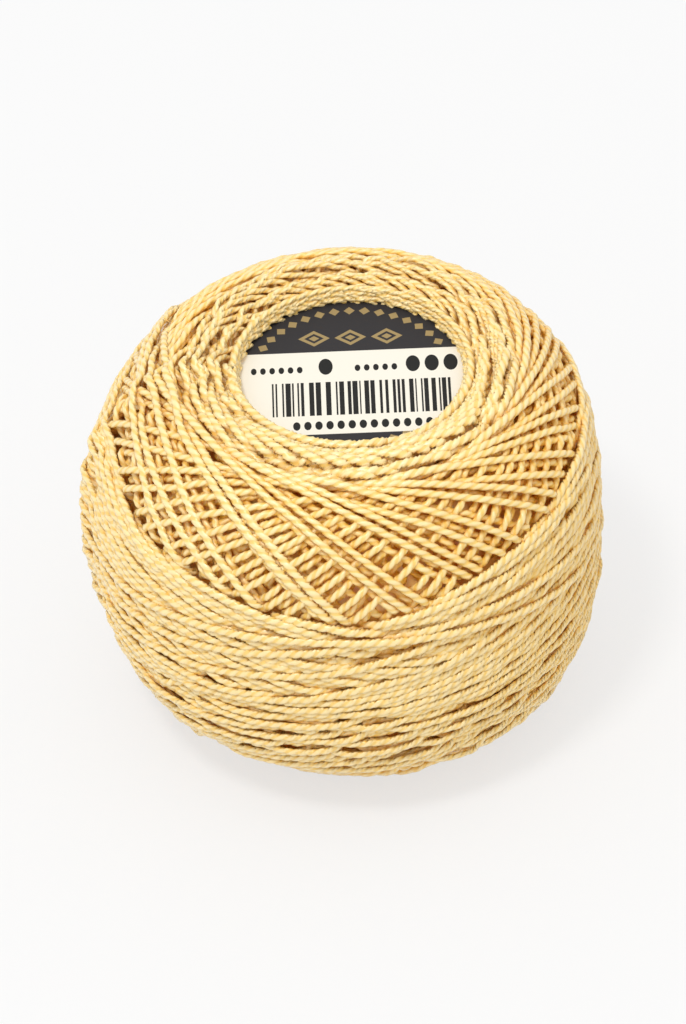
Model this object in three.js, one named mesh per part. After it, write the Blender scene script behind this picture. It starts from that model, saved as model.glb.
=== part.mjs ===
// Ball of pearl cotton: one thread wound round and round into a barrel shaped ball,
// with a round card label lying in the hollow that the winding leaves at its upper pole.
//
// Millimetres, +Z up along the winding axis, -Y is the front.
// The ball stands on its lower pole ring, at z = 0 and centred on the Z axis.

import * as THREE from "three";

// ---- driving dimensions ----------------------------------------------------------------

const ballDiameter = 45;        // across the girdle
const ballHeight = 36;          // pole ring to pole ring
const shoulderPower = 3;        // 2 would be an ellipse, more is a squarer shoulder
const openingRadius = 9.6;      // the hole that the turns leave round each pole
const ringCrestRadius = 12.2;   // where the pole ring is highest
const ringRoll = 4.0;           // radius of the pole ring's rounded top
const footInner = 10.9;         // the small flat that the ball stands on, a ring
const footOuter = 13.5;

const girdleEdge = 5.6;         // the thick band of late turns reaches this far from the equator
const girdleTilt = 1.6;         // the band leans, so its edge rises and falls by this much
const girdleProud = 0.5;        // how far the band stands above the turns under it
const strandRelief = 0.3;       // height of a bundle of turns above the groove beside it
const latticeTilt = 55;         // degrees between a lattice turn's plane and the equator

const labelRadius = 10.2;
const labelThickness = 1.0;
const labelTop = 33.5;
const clearance = 0.3;          // between the label and the thread round it
const lowerHollow = 2.5;        // depth of the plain hollow under the ball

const columns = 90;             // vertices round the ball
const columnsPerStrand = 3;

// ---- sizes that follow from them ---------------------------------------------------------

const equator = ballHeight / 2;
const grooveRadius = labelRadius + clearance;
const recessFloor = labelTop - labelThickness - clearance;
const lipUnderside = labelTop + clearance;
const ringCentre = equator - ringRoll;                            // the roll's centre, above the equator
const rollEnd = THREE.MathUtils.degToRad(20);                     // where the roll meets the side
const sideStart = ringCrestRadius + ringRoll * Math.sin(rollEnd);

// The side is a superellipse whose half height makes it meet the roll of the pole ring.
const girdleRadius = ballDiameter / 2 - girdleProud;
const sideTop = ringCentre + ringRoll * Math.cos(rollEnd);
const halfHeight =
  sideTop / Math.pow(1 - Math.pow(sideStart / girdleRadius, shoulderPower), 1 / shoulderPower);

// ---- the outline, as rows from the upper pole to the lower one ----------------------------

// A row is one ring of vertices. lift(column, angle) raises its vertices along the normal,
// and turn slides the whole row round the axis so that the strands run aslant.
function row(radius, height, normal = [0, 0], lift = () => 0, turn = 0) {
  return { radius, height, normal, lift, turn };
}

// The azimuth that a turn tilted at latticeTilt gains on its way from the equator to a latitude.
function slantAt(latitude) {
  const ratio = Math.tan(latitude) / Math.tan(THREE.MathUtils.degToRad(latticeTilt));
  return Math.asin(THREE.MathUtils.clamp(ratio, -1, 1));
}

// The slant has carried the columns this far round by the time they reach a pole ring.
const poleTurn = slantAt(Math.atan2(sideTop, sideStart));

// Concentric turns round the pole: every second row is a groove.
function ringRows() {
  const steps = 6;
  const start = -Math.asin((ringCrestRadius - openingRadius) / ringRoll);
  const rows = [];
  for (let i = 0; i <= steps; i++) {
    const angle = THREE.MathUtils.lerp(start, rollEnd, i / steps);
    const radius = ringCrestRadius + ringRoll * Math.sin(angle);
    const height = equator + ringCentre + ringRoll * Math.cos(angle);
    const groove = i % 2 === 1 ? -strandRelief : 0;
    rows.push(row(radius, height, [Math.sin(angle), Math.cos(angle)], () => groove, -poleTurn));
  }
  return rows;
}

// One half of the barrel's side, side = 1 above the equator and -1 below it.
function sideRows(side) {
  const steps = 17;
  const rows = [];
  for (let i = 1; i <= steps; i++) {
    const latitude = Math.atan2(sideTop, sideStart) * (1 - i / steps);
    rows.push(sideRow(latitude, side, i));
  }
  return rows;
}

// Above the girdle's edge the strands run aslant; in the girdle they run round the ball.
function sideRow(latitude, side, index) {
  const out = Math.cos(latitude) / girdleRadius;
  const up = Math.sin(latitude) / halfHeight;
  const reach = Math.pow(out ** shoulderPower + up ** shoulderPower, -1 / shoulderPower);
  const radius = reach * Math.cos(latitude);
  const level = reach * Math.sin(latitude);
  const slopeOut = Math.pow(radius / girdleRadius, shoulderPower - 1) / girdleRadius;
  const slopeUp = Math.pow(level / halfHeight, shoulderPower - 1) / halfHeight;
  const normal = new THREE.Vector2(slopeOut, side * slopeUp).normalize().toArray();
  const lift = (column, angle) => {
    const edge = girdleEdge + side * girdleTilt * Math.sin(angle);
    const inGirdle = THREE.MathUtils.smoothstep(edge + 0.9 - level, 0, 1.8);
    const strand = column % columnsPerStrand === 0 ? strandRelief : 0;
    const hoop = girdleProud - (index % 2 === 0 ? strandRelief : 0);
    return THREE.MathUtils.lerp(strand, hoop, inGirdle);
  };
  return row(radius, equator + side * level, normal, lift, -side * slantAt(latitude));
}

// Upper hollow: a flat floor, a groove that takes the label's edge, and the lip over it.
function upperHollowRows() {
  const outline = [
    [grooveRadius, recessFloor],
    [grooveRadius, lipUnderside],
    [openingRadius + 0.1, lipUnderside + 0.4],
  ];
  return outline.map(([radius, height]) => row(radius, height, [0, 0], () => 0, -poleTurn));
}

// The foot is pressed flat, and the hollow inside it is a plain shallow dish.
function lowerRows() {
  const rimHeight = ringRoll * (1 - Math.cos(Math.asin((ringCrestRadius - openingRadius) / ringRoll)));
  const outline = [
    [footOuter, 0],
    [ringCrestRadius, 0],
    [footInner, 0],
    [openingRadius, rimHeight],
    [openingRadius - 0.3, lowerHollow],
  ];
  return outline.map(([radius, height]) => row(radius, height, [0, 0], () => 0, poleTurn));
}

// ---- solids ----------------------------------------------------------------------------

function vertexOf(ring, column) {
  const angle = (2 * Math.PI * column) / columns + ring.turn;
  const lift = ring.lift(column, angle);
  const radius = ring.radius + lift * ring.normal[0];
  const height = ring.height + lift * ring.normal[1];
  return [radius * Math.cos(angle), radius * Math.sin(angle), height];
}

// Joins the rows into one closed surface, with a fan of triangles at either pole.
function lathe(rows, topHeight, bottomHeight) {
  const points = [[0, 0, topHeight]];
  for (const ring of rows) {
    for (let column = 0; column < columns; column++) {
      points.push(vertexOf(ring, column));
    }
  }
  points.push([0, 0, bottomHeight]);

  const at = (index, column) => 1 + index * columns + (column % columns);
  const last = points.length - 1;
  const faces = [];
  for (let column = 0; column < columns; column++) {
    faces.push(0, at(0, column), at(0, column + 1));
    for (let index = 0; index + 1 < rows.length; index++) {
      const [a, b] = [at(index, column), at(index, column + 1)];
      const [c, d] = [at(index + 1, column), at(index + 1, column + 1)];
      faces.push(a, c, b, b, c, d);
    }
    faces.push(at(rows.length - 1, column), last, at(rows.length - 1, column + 1));
  }

  const geometry = new THREE.BufferGeometry();
  geometry.setAttribute("position", new THREE.Float32BufferAttribute(points.flat(), 3));
  geometry.setIndex(faces);
  geometry.computeVertexNormals();
  return geometry;
}

function woundThread() {
  const below = sideRows(-1).slice(0, -1).reverse();
  const rows = [...upperHollowRows(), ...ringRows(), ...sideRows(1), ...below, ...lowerRows()];
  const material = new THREE.MeshStandardMaterial({ color: 0xf0cd85, roughness: 0.6, metalness: 0 });
  const mesh = new THREE.Mesh(lathe(rows, recessFloor, lowerHollow), material);
  mesh.name = "wound_thread";
  return mesh;
}

function label() {
  const disc = new THREE.CylinderGeometry(labelRadius, labelRadius, labelThickness, 72);
  const material = new THREE.MeshStandardMaterial({ color: 0x34302f, roughness: 0.55, metalness: 0 });
  const mesh = new THREE.Mesh(disc, material);
  mesh.name = "label";
  mesh.rotation.x = Math.PI / 2;
  mesh.position.z = labelTop - labelThickness / 2;
  return mesh;
}

const ball = new THREE.Group();
ball.add(woundThread(), label());

export default ball;
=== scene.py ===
# %% [markdown]
# # A ball of pearl cotton
# Pearl cotton is a shiny two-ply thread, sold as a small barrel shaped ball. The ball has no
# reel in it: a machine lays the thread round and round, tilting each turn, so that the turns
# leave a round hole at either pole. A printed card disc lies in the upper hole.
# What makes such a ball look real is that it *is* one thread: turns lie on turns, sink into the
# grooves between older turns, and pile up into a ring where many of them bend round the hole.
# So this script winds the ball. It keeps a height map of the ball, lays one turn after another
# on it, and then sweeps a two-ply section along the stretches that still show.

import math

import bpy
import numpy as np
from mathutils import Matrix, Vector


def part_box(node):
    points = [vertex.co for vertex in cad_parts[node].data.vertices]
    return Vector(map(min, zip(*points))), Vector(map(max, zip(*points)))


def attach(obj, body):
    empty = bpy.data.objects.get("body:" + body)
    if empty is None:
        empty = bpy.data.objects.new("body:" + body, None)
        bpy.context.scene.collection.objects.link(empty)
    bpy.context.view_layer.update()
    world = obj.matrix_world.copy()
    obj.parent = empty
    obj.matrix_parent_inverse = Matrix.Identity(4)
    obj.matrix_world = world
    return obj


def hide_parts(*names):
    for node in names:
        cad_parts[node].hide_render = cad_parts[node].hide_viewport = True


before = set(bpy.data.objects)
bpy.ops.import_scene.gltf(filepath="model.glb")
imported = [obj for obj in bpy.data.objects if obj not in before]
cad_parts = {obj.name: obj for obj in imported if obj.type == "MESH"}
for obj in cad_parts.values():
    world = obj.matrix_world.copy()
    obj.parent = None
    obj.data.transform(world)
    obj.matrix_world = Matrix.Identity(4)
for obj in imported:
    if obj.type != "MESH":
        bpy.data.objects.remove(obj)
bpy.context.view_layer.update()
MM = 0.001

ball_low, ball_high = (np.array(corner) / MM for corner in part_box("wound_thread"))
label_low, label_high = (np.array(corner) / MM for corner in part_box("label"))
ball_size = ball_high - ball_low
EQUATOR = ball_size[2] / 2
BALL_RADIUS = ball_size[0] / 2
LABEL_RADIUS = (label_high[0] - label_low[0]) / 2
LABEL_TOP = label_high[2]
print(f"ball {ball_size.round(2)} mm, label top at {LABEL_TOP:.2f} mm, radius {LABEL_RADIUS:.2f} mm")

# %% [markdown]
# ## Camera and light
# The ball is seen from in front and from well above, with its axis leaning a little to the left.
# A long lens from half a metre keeps the perspective mild, as when a small thing is looked at
# closely. A camera can be aimed by hand-made angles, but it is safer to let Blender work out the
# turn from the direction it looks along, which is what to_track_quat does.


# %% Camera
def placed(name, data):
    """A new object of that data, in the scene."""
    thing = bpy.data.objects.new(name, data)
    bpy.context.scene.collection.objects.link(thing)
    return thing


VIEW_ELEVATION = math.radians(43)
VIEW_ROLL = math.radians(2.3)
VIEW_DISTANCE = 0.50
FRAME_HEIGHT = 0.0885          # what the frame's long side spans at the ball, in metres
SENSOR = 36.0                  # mm, along that side
AIM_LEFT, AIM_BELOW = 1.22, 0.1          # mm from the ball's middle

aim = Vector((-AIM_LEFT * MM, 0, (EQUATOR - AIM_BELOW) * MM))
away = Vector((0, -math.cos(VIEW_ELEVATION), math.sin(VIEW_ELEVATION)))
camera_data = bpy.data.cameras.new("camera")
camera_data.sensor_width = SENSOR
camera_data.lens = SENSOR * VIEW_DISTANCE / FRAME_HEIGHT
camera_data.clip_start = 0.01
camera = placed("camera", camera_data)
facing = away.to_track_quat("Z", "Y").to_matrix().to_4x4()
roll = Matrix.Rotation(-VIEW_ROLL, 4, "Z")
camera.matrix_world = Matrix.Translation(aim + away * VIEW_DISTANCE) @ facing @ roll
bpy.context.scene.camera = camera
bpy.context.scene.view_settings.view_transform = "Standard"
print(f"lens {camera_data.lens:.0f} mm at {VIEW_DISTANCE} m")

# %% [markdown]
# The light is one soft lamp from the upper left, so the shadow falls softly to the right and
# every strand has a light side and a golden side. An area lamp is used, because its size sets how
# soft the shadow's edge is.


# %% Lamp
def soft_lamp(name, place, size, power):
    """A square soft box that faces the ball."""
    lamp = bpy.data.lights.new(name, "AREA")
    lamp.shape = "SQUARE"
    lamp.size = size
    lamp.energy = power
    holder = placed(name, lamp)
    spot = Vector(place)
    facing_ball = (spot - aim).to_track_quat("Z", "Y").to_matrix().to_4x4()
    holder.matrix_world = Matrix.Translation(spot) @ facing_ball
    return holder


key_lamp = soft_lamp("key_lamp", place=(-0.18, -0.25, 0.74), size=0.13, power=2.1)
print(f"{key_lamp.name} {(key_lamp.location - aim).length:.2f} m from the ball")

# %% [markdown]
# The room round the ball is a world shader. Its strength follows the height of the direction, so
# more light comes from overhead than from the sides, and below the horizon it stays as at the
# horizon. What the camera sees of the room goes through a second, plain background, picked by
# the Light Path node: the backdrop stays pale in low views, and the light on the ball isn't
# changed by it. Pale thread passes light on many times before it dies out, so the number of
# diffuse bounces is raised; with few bounces the gaps would turn black.

# %% Room
SIDE_LIGHT, TOP_LIGHT = 0.74, 1.03      # how strongly the room lights the ball
SEEN_ROOM = 0.94                        # how bright the room itself looks
DIFFUSE_BOUNCES = 10

room = bpy.data.worlds.new("room")
bpy.context.scene.world = room
room.use_nodes = True
room_nodes, room_links = room.node_tree.nodes, room.node_tree.links
direction = room_nodes.new("ShaderNodeTexCoord")
split = room_nodes.new("ShaderNodeSeparateXYZ")
brightness = room_nodes.new("ShaderNodeMapRange")
brightness.inputs["To Min"].default_value = SIDE_LIGHT
brightness.inputs["To Max"].default_value = TOP_LIGHT
room_links.new(direction.outputs["Generated"], split.inputs[0])
room_links.new(split.outputs["Z"], brightness.inputs["Value"])
lit_room = room_nodes["Background"]
lit_room.inputs["Color"].default_value = (1, 1, 1, 1)
room_links.new(brightness.outputs["Result"], lit_room.inputs["Strength"])
seen_room = room_nodes.new("ShaderNodeBackground")
seen_room.inputs["Color"].default_value = (SEEN_ROOM, SEEN_ROOM, SEEN_ROOM, 1)
ray = room_nodes.new("ShaderNodeLightPath")
either_room = room_nodes.new("ShaderNodeMixShader")
room_links.new(ray.outputs["Is Camera Ray"], either_room.inputs[0])
room_links.new(lit_room.outputs[0], either_room.inputs[1])
room_links.new(seen_room.outputs[0], either_room.inputs[2])
room_links.new(either_room.outputs[0], room_nodes["World Output"].inputs["Surface"])
bpy.context.scene.cycles.diffuse_bounces = DIFFUSE_BOUNCES
print(f"room lights with {SIDE_LIGHT} from the sides to {TOP_LIGHT} from overhead")

# %% [markdown]
# ## The ball as a height map
# Every turn passes near the ball's centre plane, so a place on the ball is best named by its
# direction from the centre. The map holds, for each small cell of direction, how far the
# thread reaches from the centre by now. It starts as the inside of the ball: the finished form,
# less the depth that this script's turns will fill. The finished form is a superellipse for the
# side and a rolled rim round each hole. The card label lies across the upper hole, so turns that
# pass its edge come to rest on it.

# %% The finished form
SHOULDER_POWER = 3.0
STAND_OUT = 1.0                        # how far the highest turns stand out from the mean surface, in mm
GIRDLE_PROUD = 0.5                     # how far the girdle stands out from the lattice
SIDE_RADIUS = BALL_RADIUS - GIRDLE_PROUD - STAND_OUT
SIDE_HALF_HEIGHT = 18.9
RING_RADIUS, RING_ROLL = 12.2, 4.0
RING_HEIGHT = EQUATOR - STAND_OUT - RING_ROLL
RING_JOIN = math.radians(54.7)         # latitude where the rolled rim meets the side
HOLE_RADIUS = 9.7                      # the closest that the thread comes to the axis
HOLE_BOTTOM = 13.0                     # distance from the centre past the rim, where nothing lies
print(f"side {SIDE_RADIUS:.1f} mm from the axis, ring {RING_HEIGHT + RING_ROLL:.1f} mm above the equator")


def ease(x, start, end):
    """Smooth step from 0 to 1."""
    t = np.clip((x - start) / (end - start), 0, 1)
    return t * t * (3 - 2 * t)


def lattice_radius(latitude):
    """Distance from the centre to the finished lattice and ring, for an array of latitudes."""
    lat = np.abs(latitude)
    out, up = np.cos(lat) / SIDE_RADIUS, np.sin(lat) / SIDE_HALF_HEIGHT
    side = (out**SHOULDER_POWER + up**SHOULDER_POWER) ** (-1 / SHOULDER_POWER)
    along = RING_RADIUS * np.cos(lat) + RING_HEIGHT * np.sin(lat)
    miss = RING_RADIUS**2 + RING_HEIGHT**2 - along**2
    rolled = along + np.sqrt(np.maximum(RING_ROLL**2 - miss, 0))
    return np.where(lat < RING_JOIN, side, np.where(miss < RING_ROLL**2, rolled, HOLE_BOTTOM))


# How deep the turns of this script lie, in mm: under the girdle, the lattice and the pole ring.
GIRDLE_DEPTH, LATTICE_DEPTH, RING_DEPTH = 4.0, 2.6, 3.2


def inner_radius(latitude):
    """Distance from the centre to the ball that is already there when this script starts."""
    lat = np.degrees(np.abs(latitude))
    girdle = 1 - ease(lat, 9, 26)
    ring = ease(lat, 38, 52)
    depth = GIRDLE_DEPTH * girdle + RING_DEPTH * ring + LATTICE_DEPTH * (1 - girdle) * (1 - ring)
    return lattice_radius(latitude) - depth


# %% The map
CELL = 0.15                            # mm across a cell, about
MAP_EDGE = math.radians(68)            # the map ends at this latitude, inside the holes
ROWS, COLUMNS = 348, 924               # multiples of the patch that is pressed as a whole
row_latitude = (np.arange(ROWS) + 0.5) / ROWS * 2 * MAP_EDGE - MAP_EDGE
height = np.repeat(inner_radius(row_latitude)[:, None], COLUMNS, axis=1)
print(f"height map of {ROWS} by {COLUMNS} cells")


def cells_of(direction):
    """Row and column of the map for unit vectors."""
    latitude = np.arcsin(np.clip(direction[..., 2], -1, 1))
    azimuth = np.arctan2(direction[..., 1], direction[..., 0])
    row = ((latitude + MAP_EDGE) / (2 * MAP_EDGE) * ROWS).astype(int)
    column = (azimuth / (2 * math.pi) * COLUMNS).astype(int) % COLUMNS
    return np.clip(row, 0, ROWS - 1), column


# %% [markdown]
# ## How a turn is laid
# A turn lies in a plane through the ball's centre. The plane leans by a *tilt* from the equator,
# about a line that crosses the equator at the *node*. A steep turn brushes the rims of both
# holes and crosses the equator steeply; a shallow one stays in the girdle.
# Four things shape the thread on its way: it slides sideways into the lowest groove nearby,
# as far as it can without turning sharply; it rests on whatever is under it; it is taut, so
# between two high places it runs straight; and its pull presses what lies below into the ball.
# The first is a shortest path search, the second a look-up in the height map, the third a convex
# hull in the turn's own plane, and the fourth lowers a patch of the map that has grown too high.
# A real rope simulation could do all four at once, but not for hundreds of turns in half a
# minute, and these four are enough to put every strand where a strand would lie.

# %% The thread
THREAD_RADIUS = 0.305
TWIST_PITCH = 2.1               # mm along the thread for one full turn of the two plies
SAMPLES = 520                   # places worked out on every turn
REST_WIDTHS = np.linspace(-0.85, 0.85, 5) * THREAD_RADIUS
REST_LIFT = 0.68 * np.sqrt(THREAD_RADIUS**2 - REST_WIDTHS**2)      # thread is soft, so it sinks in
LAID_WIDTHS = np.linspace(-0.97, 0.97, 9) * THREAD_RADIUS
LAID_LIFT = np.sqrt(THREAD_RADIUS**2 - LAID_WIDTHS**2)
SLIDES = np.arange(-5, 6) * 0.12
STAY_COST = 0.05                # keeps the thread near its own plane
BEND_COST = 6.0                 # keeps it from turning sharply
EDGE_COST = 4.0                 # keeps it from slipping off the rim into the hole
START_COST = 4.0                # keeps its start where the turn before it ended
SLIDE_REACH, PULL_REACH = 8, 4  # samples to either side that smooth the slide and the pull
DIG_IN = 0.15                   # mm, how far a taut thread may sink into what it rests on
SAMPLE_STEP = 0.26              # mm between samples, about
MEAN_RADIUS = 21.0              # mm, turns small sideways distances into angles
slide_change_cost = BEND_COST * (SLIDES[:, None] - SLIDES[None, :]) ** 2 / SAMPLE_STEP
print(f"thread {2 * THREAD_RADIUS:.2f} mm thick, {len(SLIDES)} sideways places tried at every step")


# %% A turn's plane
def turn_frame(along, node, tilt):
    """Outward and sideways unit vectors at the angles along a turn of that node and tilt."""
    def turned(x, y, z):
        across, up = y * np.cos(tilt) - z * np.sin(tilt), y * np.sin(tilt) + z * np.cos(tilt)
        return np.stack([x * np.cos(node) - across * np.sin(node),
                         x * np.sin(node) + across * np.cos(node), up], -1)
    none = np.zeros_like(along)
    return turned(np.cos(along), np.sin(along), none), turned(none, none, none + 1)


def moved(outward, sideways, distance, radius):
    """Outward directions moved sideways by a distance at that radius."""
    angle = distance / radius
    return outward * np.cos(angle)[..., None] + sideways * np.sin(angle)[..., None]


def rest_radius(outward, sideways, slide):
    """Radius at which the thread's middle rests, once it has slid sideways."""
    places = moved(outward[..., None, :], sideways[..., None, :], slide[..., None] + REST_WIDTHS, MEAN_RADIUS)
    return (height[cells_of(places)] + REST_LIFT).max(-1)


first_outward, first_sideways = turn_frame(np.array([math.pi / 2]), 0.0, math.radians(60))
first_rest = rest_radius(first_outward, first_sideways, np.zeros(1))[0]
print(f"at the top of a 60 degree turn the bare ball holds the thread {first_rest:.2f} mm from the centre")

# %% [markdown]
# Each turn is divided into samples, and at each sample a few sideways places are tried. A place
# costs its height, its distance from the turn's own plane, and how far it hangs over the hole;
# going from one place to the next costs the square of the change. The cheapest way through all
# samples is found by dynamic programming: for every place, the cheapest way to get there is
# kept, and at the end the choices are read backwards.


# %% Sliding into grooves
def slide_costs(outward, sideways):
    """What each sideways place costs at each sample: its height, its distance, and the hole."""
    tries = np.broadcast_to(SLIDES, (len(outward), len(SLIDES)))
    rest = rest_radius(outward[:, None, :], sideways[:, None, :], tries)
    place = moved(outward[:, None, :], sideways[:, None, :], tries, MEAN_RADIUS)
    from_axis = rest * np.sqrt(1 - place[..., 2] ** 2)
    return rest + STAY_COST * SLIDES**2 + EDGE_COST * np.maximum(HOLE_RADIUS - from_axis, 0)


def lowest_slide(costs, first):
    """The sideways path, as a slide at each sample, that lies low without turning sharply."""
    total = costs[0] + START_COST * (SLIDES - first) ** 2
    came_from = np.empty(costs.shape, int)
    for k in range(1, len(costs)):
        step = total[:, None] + slide_change_cost
        came_from[k] = step.argmin(0)
        total = step[came_from[k], np.arange(len(SLIDES))] + costs[k] * SAMPLE_STEP
    choice = np.empty(len(costs), int)
    choice[-1] = total.argmin()
    for k in range(len(costs) - 1, 0, -1):
        choice[k - 1] = came_from[k, choice[k]]
    return SLIDES[choice]


def smoothed(values, reach):
    """Running average with soft ends, along the first axis."""
    kernel = np.hanning(2 * reach + 3)[1:-1]
    kernel /= kernel.sum()
    padded = np.concatenate([np.repeat(values[:1], reach, 0), values, np.repeat(values[-1:], reach, 0)])
    if values.ndim == 1:
        return np.convolve(padded, kernel, "valid")
    return np.stack([np.convolve(column, kernel, "valid") for column in padded.T], -1)


trial_groove = np.repeat([0.0, 0.48], 30)
trial = lowest_slide(9 * (SLIDES - trial_groove[:, None]) ** 2, 0.0)
between = ((trial > 0.01) & (trial < 0.47)).sum()
print(f"where a groove steps aside by 0.48 mm, the thread takes {between} samples to follow")

# %% [markdown]
# A taut thread can't follow a dip: between two high places it runs straight. Seen along the
# line that a turn's plane makes with the ball, that is the convex hull of the places where the
# thread would rest. The hull is walked once round, starting at the highest place.


# %% Pulling the turn taut
def taut_radius(rest, along):
    """Radius of the convex hull round the resting radii of one whole turn."""
    count = len(rest)
    top = int(np.argmax(rest))
    order = np.r_[top:count, 0:top + 1]
    x, y = rest[order] * np.cos(along[order]), rest[order] * np.sin(along[order])
    px, py = x.tolist(), y.tolist()
    corners = [0, 1]
    for k in range(2, count + 1):
        while len(corners) > 1:
            a, b = corners[-2], corners[-1]
            if (px[b] - px[a]) * (py[k] - py[a]) > (py[b] - py[a]) * (px[k] - px[a]):
                break
            corners.pop()
        corners.append(k)
    hull_x, hull_y = x[corners], y[corners]
    hull_angle = np.unwrap(np.arctan2(hull_y, hull_x))
    angle = hull_angle[0] + np.unwrap(along[order]) - along[order[0]]
    side = np.clip(np.searchsorted(hull_angle, angle, side="right") - 1, 0, len(corners) - 2)
    ax, ay = hull_x[side], hull_y[side]
    dx, dy = hull_x[side + 1] - ax, hull_y[side + 1] - ay
    reach = (ax * dy - ay * dx) / (np.cos(angle) * dy - np.sin(angle) * dx)
    radius = np.empty(count)
    radius[order[:-1]] = reach[:-1]
    return radius


posts = taut_radius(np.tile([20.0, 5.0], 4), np.arange(8) * math.pi / 4)
print(f"round four posts 20 mm from the centre, a taut thread comes in to {posts.min():.2f} mm")


# %% Laying it
def lay(outward, sideways, radius):
    """Raises the map under a thread whose middle runs at that radius."""
    half = 0.5 * (outward[:-1] + outward[1:])
    outward = np.concatenate([outward, half / np.linalg.norm(half, axis=1, keepdims=True)])
    sideways = np.concatenate([sideways, sideways[:-1]])
    radius = np.concatenate([radius, 0.5 * (radius[:-1] + radius[1:])])
    places = moved(outward[:, None, :], sideways[:, None, :], LAID_WIDTHS[None, :], radius[:, None])
    np.maximum.at(height, cells_of(places), radius[:, None] + LAID_LIFT)


def wind_turn(nodes, tilts, first_slide):
    """Lays one turn whose node and tilt go from the first to the second value."""
    share = np.arange(SAMPLES) / SAMPLES
    along = 2 * math.pi * share - math.pi / 2
    node = nodes[0] + (nodes[1] - nodes[0]) * (share + np.sin(4 * math.pi * share) / (4 * math.pi))
    tilt = tilts[0] + (tilts[1] - tilts[0]) * share
    outward, sideways = turn_frame(along, node, tilt)
    slide = smoothed(lowest_slide(slide_costs(outward, sideways), first_slide), SLIDE_REACH)
    rest = rest_radius(outward, sideways, slide)
    radius = np.maximum(smoothed(taut_radius(rest, along), PULL_REACH), rest - DIG_IN)
    outward = moved(outward, sideways, slide, radius)
    lay(outward, sideways, radius)
    return outward, sideways, radius, slide[-1]


print(f"a turn is laid at {2 * SAMPLES - 1} places along it and {len(LAID_WIDTHS)} across")

# %% [markdown]
# Without pressing, the ball would grow wherever many turns cross, which is round the holes. On
# the real ball the pull of the thread packs such places tighter. Here a patch of the map that
# has grown past the wanted form sinks by the excess, together with all thread already laid in
# it. The sinking is kept in a map of its own, so that every turn's path can be lowered by as
# much as was pressed in after it was laid.

# %% Pressing the ball into form
PATCH_ROWS, PATCH_COLUMNS = 4, 12      # cells across one patch that is pressed as a whole


def patch_shares(cells, patch, wraps):
    """How much of each patch's pressing each row or column of cells takes, so that patches blend."""
    patches = cells // patch
    gap = (np.arange(cells)[:, None] + 0.5) / patch - (np.arange(patches)[None, :] + 0.5)
    if wraps:
        gap = (gap + patches / 2) % patches - patches / 2
    share = np.maximum(1 - np.abs(gap), 0)
    return share / share.sum(1, keepdims=True)


row_share = patch_shares(ROWS, PATCH_ROWS, False)
column_share = patch_shares(COLUMNS, PATCH_COLUMNS, True)
pressed = np.zeros((ROWS // PATCH_ROWS, COLUMNS // PATCH_COLUMNS))     # how far each patch was pressed in
patch_form = lattice_radius(row_latitude.reshape(-1, PATCH_ROWS).mean(1))[:, None]


def press(proud):
    """Lowers each patch that has grown past the lattice's form by more than that."""
    patch = height.reshape(len(pressed), PATCH_ROWS, -1, PATCH_COLUMNS).mean((1, 3))
    excess = np.maximum(patch - patch_form - proud, 0)
    np.add(pressed, excess, out=pressed)
    np.subtract(height, row_share @ excess @ column_share.T, out=height)


def pressed_at(direction):
    """How far the ball has been pressed in at those directions."""
    row, column = cells_of(direction)
    return ((row_share[row] @ pressed) * column_share[column]).sum(1)


print(f"{pressed.size} patches")

# %% [markdown]
# ## The winding plan
# The machine works in stages. First come steep turns: each lies one step of the node further
# back than the one before, so they cross into an open lattice between the hole and the equator.
# Their tilt falls from stage to stage, which leaves the ring round the hole in separate ridges.
# Then the tilt drops over a few turns, which fan out on the left, and the shallow turns of the
# girdle hold the lattice down. The girdle is wider on one side than on the other, because the
# ball leans a little on its spindle.
# Azimuths in the plan are measured from the front, anticlockwise seen from above. Lean and oval
# are shares of the tilt, added where a turn's highest point is at the back or at either side.
# Jitter is how far each node strays at random, in degrees: no hand or machine is perfect.

# %% The plan
FRONT = -90.0                # degrees from the X axis to the front
STAGE_COLUMNS = ("name", "turns", "tilt_from", "tilt_to", "node_step", "jitter", "lean", "oval")
STAGES = [
    ("old_turns", 96, 30.0, 56.0, -137.5, 1.0, 0.0, 0.0),
    ("rim_lattice", 60, 59.8, 59.3, -8.09, 0.5, 0.0, 0.0),
    ("second_lattice", 60, 57.8, 57.3, -8.09, 0.5, 0.0, 0.0),
    ("third_lattice", 67, 55.5, 55.2, -8.09, 0.6, 0.0, 0.0),
    ("fourth_lattice", 30, 53.0, 52.6, -8.09, 0.7, 0.0, 0.0),
    ("fifth_lattice", 89, 50.4, 50.0, -8.09, 0.7, 0.0, 0.0),
    ("covering_turns", 120, 34.0, 50.0, -137.5, 1.0, 0.0, 0.0),
    ("outer_lattice", 66, 47.3, 47.6, -8.09, 0.9, 0.0, 0.0),
    ("paired_lattice", 46, 47.6, 47.8, -8.09, 0.7, 0.0, 0.0),
    ("wide_girdle", 45, 25.5, 24.0, -8.09, 0.6, 0.25, 0.14),
    ("girdle", 90, 21.0, 14.0, -8.09, 0.6, 0.25, 0.14),
    ("narrow_girdle", 60, 13.0, 8.0, -8.09, 0.6, 0.25, 0.14),
    ("last_turns", 5, 15.0, 14.0, -31.0, 0.8, 0.0, 0.0),
]
LATTICE_END = -151.5         # node of the last lattice turn
LATTICE_STAGES = 9           # how many stages come before the girdle
PAIR_SHIFT = 5.15            # degrees that turns laid in pairs move towards each other
TILT_JITTER = 0.2            # how far the tilt strays, as a share of the node's jitter
# Nodes and tilts of the turns that change over from the lattice to the girdle, two and two.
CHANGE_OVER = [(-151.5, 47.7), (-166.8, 47.6), (-163.9, 47.3), (-184.4, 37.7), (-179.6, 41.0),
               (-193.5, 38.9), (-184.8, 23.5), (-199.7, 28.5)]
FIRST_NODE = LATTICE_END - sum(row[1] * row[4] for row in STAGES[:LATTICE_STAGES])


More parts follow.
